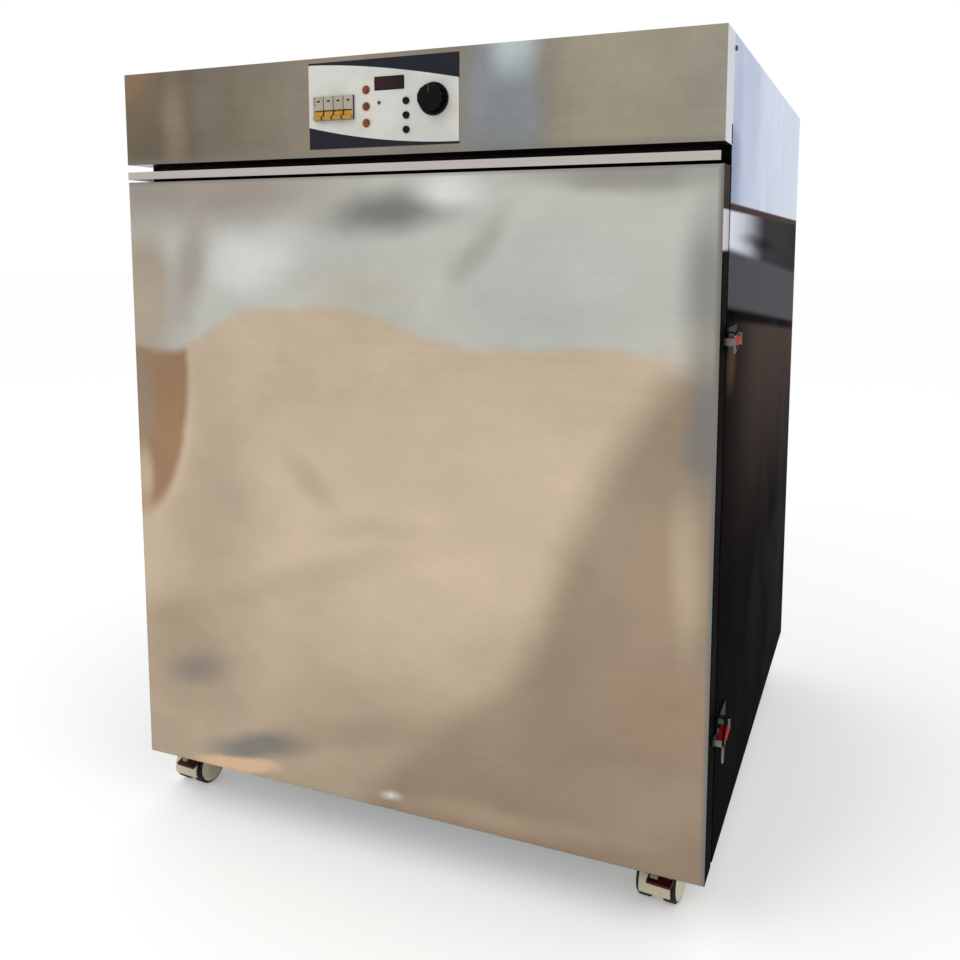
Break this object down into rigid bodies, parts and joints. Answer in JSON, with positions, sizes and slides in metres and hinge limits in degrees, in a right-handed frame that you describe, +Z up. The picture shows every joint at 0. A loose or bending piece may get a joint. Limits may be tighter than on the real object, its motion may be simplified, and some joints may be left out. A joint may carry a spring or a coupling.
{
  "type": "dry heat sterilizer",
  "caption": "Floor-standing stainless hot-air sterilizer on swivel casters, with a side-hinged front door, side latches, a control panel, wire racks and a fan with a ring heater.",
  "frame": {"origin": "on the floor, under the middle of the whole object's box", "axes": "+Z up, the door and the control panel face -Y, +X towards the latches"},
  "size_m": [1.0334, 1.073, 1.2955],
  "materials": {
    "door_steel": "fine horizontal grain",
    "fascia_steel": "fine horizontal grain",
    "deflector_steel": "satin",
    "side_steel": "fine grain",
    "top_steel": "fine grain",
    "back_steel": "satin",
    "jamb_steel": "satin",
    "base_steel": "satin paint",
    "liner_steel": "satin",
    "rack_wire": "polished wire",
    "wool": "fibrous",
    "deck_steel": "satin",
    "overlay_print": "semi-matt film",
    "breaker_shell": "matt",
    "breaker_handle": "semi-gloss",
    "display_pane": "tinted, glossy",
    "lamp_lens": "translucent",
    "module_shell": "matt",
    "button_cap": "semi-gloss",
    "knob_shell": "semi-gloss",
    "heater_tube": "oxidised",
    "probe_steel": "drawn tube",
    "motor_shell": "satin paint",
    "fan_steel": "satin",
    "gasket": "moulded silicone",
    "hinge_steel": "satin",
    "latch_steel": "bright",
    "grip_red": "semi-gloss",
    "caster_shell": "moulded",
    "wheel_disc": "moulded",
    "tyre": "moulded rubber",
    "pedal": "semi-gloss",
    "caster_mount": "zinc plated",
    "screw": "bright",
    "gland": "moulded"
  },
  "bodies": {
    "cabinet": {"base_frame": "base_steel", "bottom_pan": "base_steel", "side_panel_left": "side_steel", "side_panel_right": "side_steel", "top_cover": "top_steel", "back_panel": "back_steel", "front_frame": "jamb_steel", "chamber_liner": "liner_steel", "chamber_insulation": "wool", "bay_deck": "deck_steel", "baffle_plate": "liner_steel", "shelf_supports": "liner_steel", "shelves": "rack_wire", "heating_elements": "heater_tube", "fan_motor": "motor_shell", "temperature_probe": "probe_steel", "control_fascia": "fascia_steel", "heat_deflector": "deflector_steel", "panel_overlay": "overlay_print", "breaker_body": "breaker_shell", "display_window": "display_pane", "indicator_lamps": "lamp_lens", "control_modules": "module_shell", "cabinet_hinges": "hinge_steel", "latch_bases": "latch_steel", "caster_plates": "caster_mount", "housing_screws": "screw", "cable_gland": "gland"},
    "door": {"door_skin": "door_steel", "door_inner_pan": "liner_steel", "door_insulation": "wool", "door_gasket": "gasket", "door_hinges": "hinge_steel", "latch_strikes": "latch_steel"},
    "fan": {"fan_impeller": "fan_steel"},
    "knob": {"regulator_knob": "knob_shell"},
    "breaker": {"breaker_toggle": "breaker_handle"},
    "button_upper": {"button_upper": "button_cap"},
    "button_middle": {"button_middle": "button_cap"},
    "button_lower": {"button_lower": "button_cap"},
    "lever_upper": {"latch_lever_upper": "latch_steel", "latch_grip_upper": "grip_red"},
    "hook_upper": {"latch_hook_upper": "latch_steel"},
    "lever_lower": {"latch_lever_lower": "latch_steel", "latch_grip_lower": "grip_red"},
    "hook_lower": {"latch_hook_lower": "latch_steel"},
    "swivel_front_left": {"caster_hood_front_left": "caster_shell"},
    "wheels_front_left": {"caster_wheels_front_left": "wheel_disc", "caster_tyres_front_left": "tyre"},
    "pedal_front_left": {"brake_pedal_front_left": "pedal"},
    "swivel_front_right": {"caster_hood_front_right": "caster_shell"},
    "wheels_front_right": {"caster_wheels_front_right": "wheel_disc", "caster_tyres_front_right": "tyre"},
    "pedal_front_right": {"brake_pedal_front_right": "pedal"},
    "swivel_rear_left": {"caster_hood_rear_left": "caster_shell"},
    "wheels_rear_left": {"caster_wheels_rear_left": "wheel_disc", "caster_tyres_rear_left": "tyre"},
    "swivel_rear_right": {"caster_hood_rear_right": "caster_shell"},
    "wheels_rear_right": {"caster_wheels_rear_right": "wheel_disc", "caster_tyres_rear_right": "tyre"}
  },
  "joints": [
    {"name": "door_swing", "type": "hinge", "parent": "cabinet", "child": "door", "pos_m": [-0.51071, -0.45855, 0.606], "axis": [0, 0, -1], "range_deg": [0, 135]},
    {"name": "fan_spin", "type": "hinge", "parent": "cabinet", "child": "fan", "pos_m": [-0.00471, 0.32145, 0.6301], "axis": [0, 1, 0], "continuous": true},
    {"name": "knob_turn", "type": "hinge", "parent": "cabinet", "child": "knob", "pos_m": [0.07354, -0.51745, 1.2235], "axis": [0, 1, 0], "range_deg": [-135, 135]},
    {"name": "breaker_tip", "type": "hinge", "parent": "cabinet", "child": "breaker", "pos_m": [-0.09546, -0.51405, 1.21], "axis": [-1, 0, 0], "range_deg": [0, 60]},
    {"name": "button_upper_press", "type": "slide", "parent": "cabinet", "child": "button_upper", "axis": [0, 1, 0], "range_m": [0, 0.0015], "stiffness_N_per_m": 200, "springref_m": -0.002},
    {"name": "button_middle_press", "type": "slide", "parent": "cabinet", "child": "button_middle", "axis": [0, 1, 0], "range_m": [0, 0.0015], "stiffness_N_per_m": 200, "springref_m": -0.002},
    {"name": "button_lower_press", "type": "slide", "parent": "cabinet", "child": "button_lower", "axis": [0, 1, 0], "range_m": [0, 0.0015], "stiffness_N_per_m": 200, "springref_m": -0.002},
    {"name": "lever_upper_turn", "type": "hinge", "parent": "cabinet", "child": "lever_upper", "pos_m": [0.50629, -0.41555, 0.878], "axis": [0, 0, 1], "range_deg": [0, 180]},
    {"name": "hook_upper_turn", "type": "hinge", "parent": "lever_upper", "child": "hook_upper", "pos_m": [0.50629, -0.42955, 0.878], "axis": [0, 0, 1], "range_deg": [-186, 0]},
    {"name": "lever_lower_turn", "type": "hinge", "parent": "cabinet", "child": "lever_lower", "pos_m": [0.50629, -0.41555, 0.299], "axis": [0, 0, 1], "range_deg": [0, 180]},
    {"name": "hook_lower_turn", "type": "hinge", "parent": "lever_lower", "child": "hook_lower", "pos_m": [0.50629, -0.42955, 0.299], "axis": [0, 0, 1], "range_deg": [-186, 0]},
    {"name": "swivel_front_left_turn", "type": "hinge", "parent": "cabinet", "child": "swivel_front_left", "pos_m": [-0.47071, -0.40155, 0.0917], "axis": [0, 0, 1], "continuous": true},
    {"name": "wheels_front_left_roll", "type": "hinge", "parent": "swivel_front_left", "child": "wheels_front_left", "pos_m": [-0.47211, -0.4215, 0.034], "axis": [0.9976, -0.0698, 0], "continuous": true},
    {"name": "pedal_front_left_tip", "type": "hinge", "parent": "swivel_front_left", "child": "pedal_front_left", "pos_m": [-0.47473, -0.45897, 0.054], "axis": [-0.9976, 0.0698, 0], "range_deg": [0, 15]},
    {"name": "swivel_front_right_turn", "type": "hinge", "parent": "cabinet", "child": "swivel_front_right", "pos_m": [0.41529, -0.40155, 0.0917], "axis": [0, 0, 1], "continuous": true},
    {"name": "wheels_front_right_roll", "type": "hinge", "parent": "swivel_front_right", "child": "wheels_front_right", "pos_m": [0.41389, -0.4215, 0.034], "axis": [0.9976, -0.0698, 0], "continuous": true},
    {"name": "pedal_front_right_tip", "type": "hinge", "parent": "swivel_front_right", "child": "pedal_front_right", "pos_m": [0.41127, -0.45897, 0.054], "axis": [-0.9976, 0.0698, 0], "range_deg": [0, 15]},
    {"name": "swivel_rear_left_turn", "type": "hinge", "parent": "cabinet", "child": "swivel_rear_left", "pos_m": [-0.47071, 0.46345, 0.0917], "axis": [0, 0, 1], "continuous": true},
    {"name": "wheels_rear_left_roll", "type": "hinge", "parent": "swivel_rear_left", "child": "wheels_rear_left", "pos_m": [-0.46133, 0.44579, 0.034], "axis": [0.8829, 0.4695, 0], "continuous": true},
    {"name": "swivel_rear_right_turn", "type": "hinge", "parent": "cabinet", "child": "swivel_rear_right", "pos_m": [0.41529, 0.46345, 0.0917], "axis": [0, 0, 1], "continuous": true},
    {"name": "wheels_rear_right_roll", "type": "hinge", "parent": "swivel_rear_right", "child": "wheels_rear_right", "pos_m": [0.40845, 0.44466, 0.034], "axis": [0.9397, -0.342, 0], "continuous": true}
  ],
  "couplings": [
    {"joint": "hook_upper_turn", "follows": "lever_upper_turn", "ratio": -1.0333},
    {"joint": "hook_lower_turn", "follows": "lever_lower_turn", "ratio": -1.0333}
  ]
}
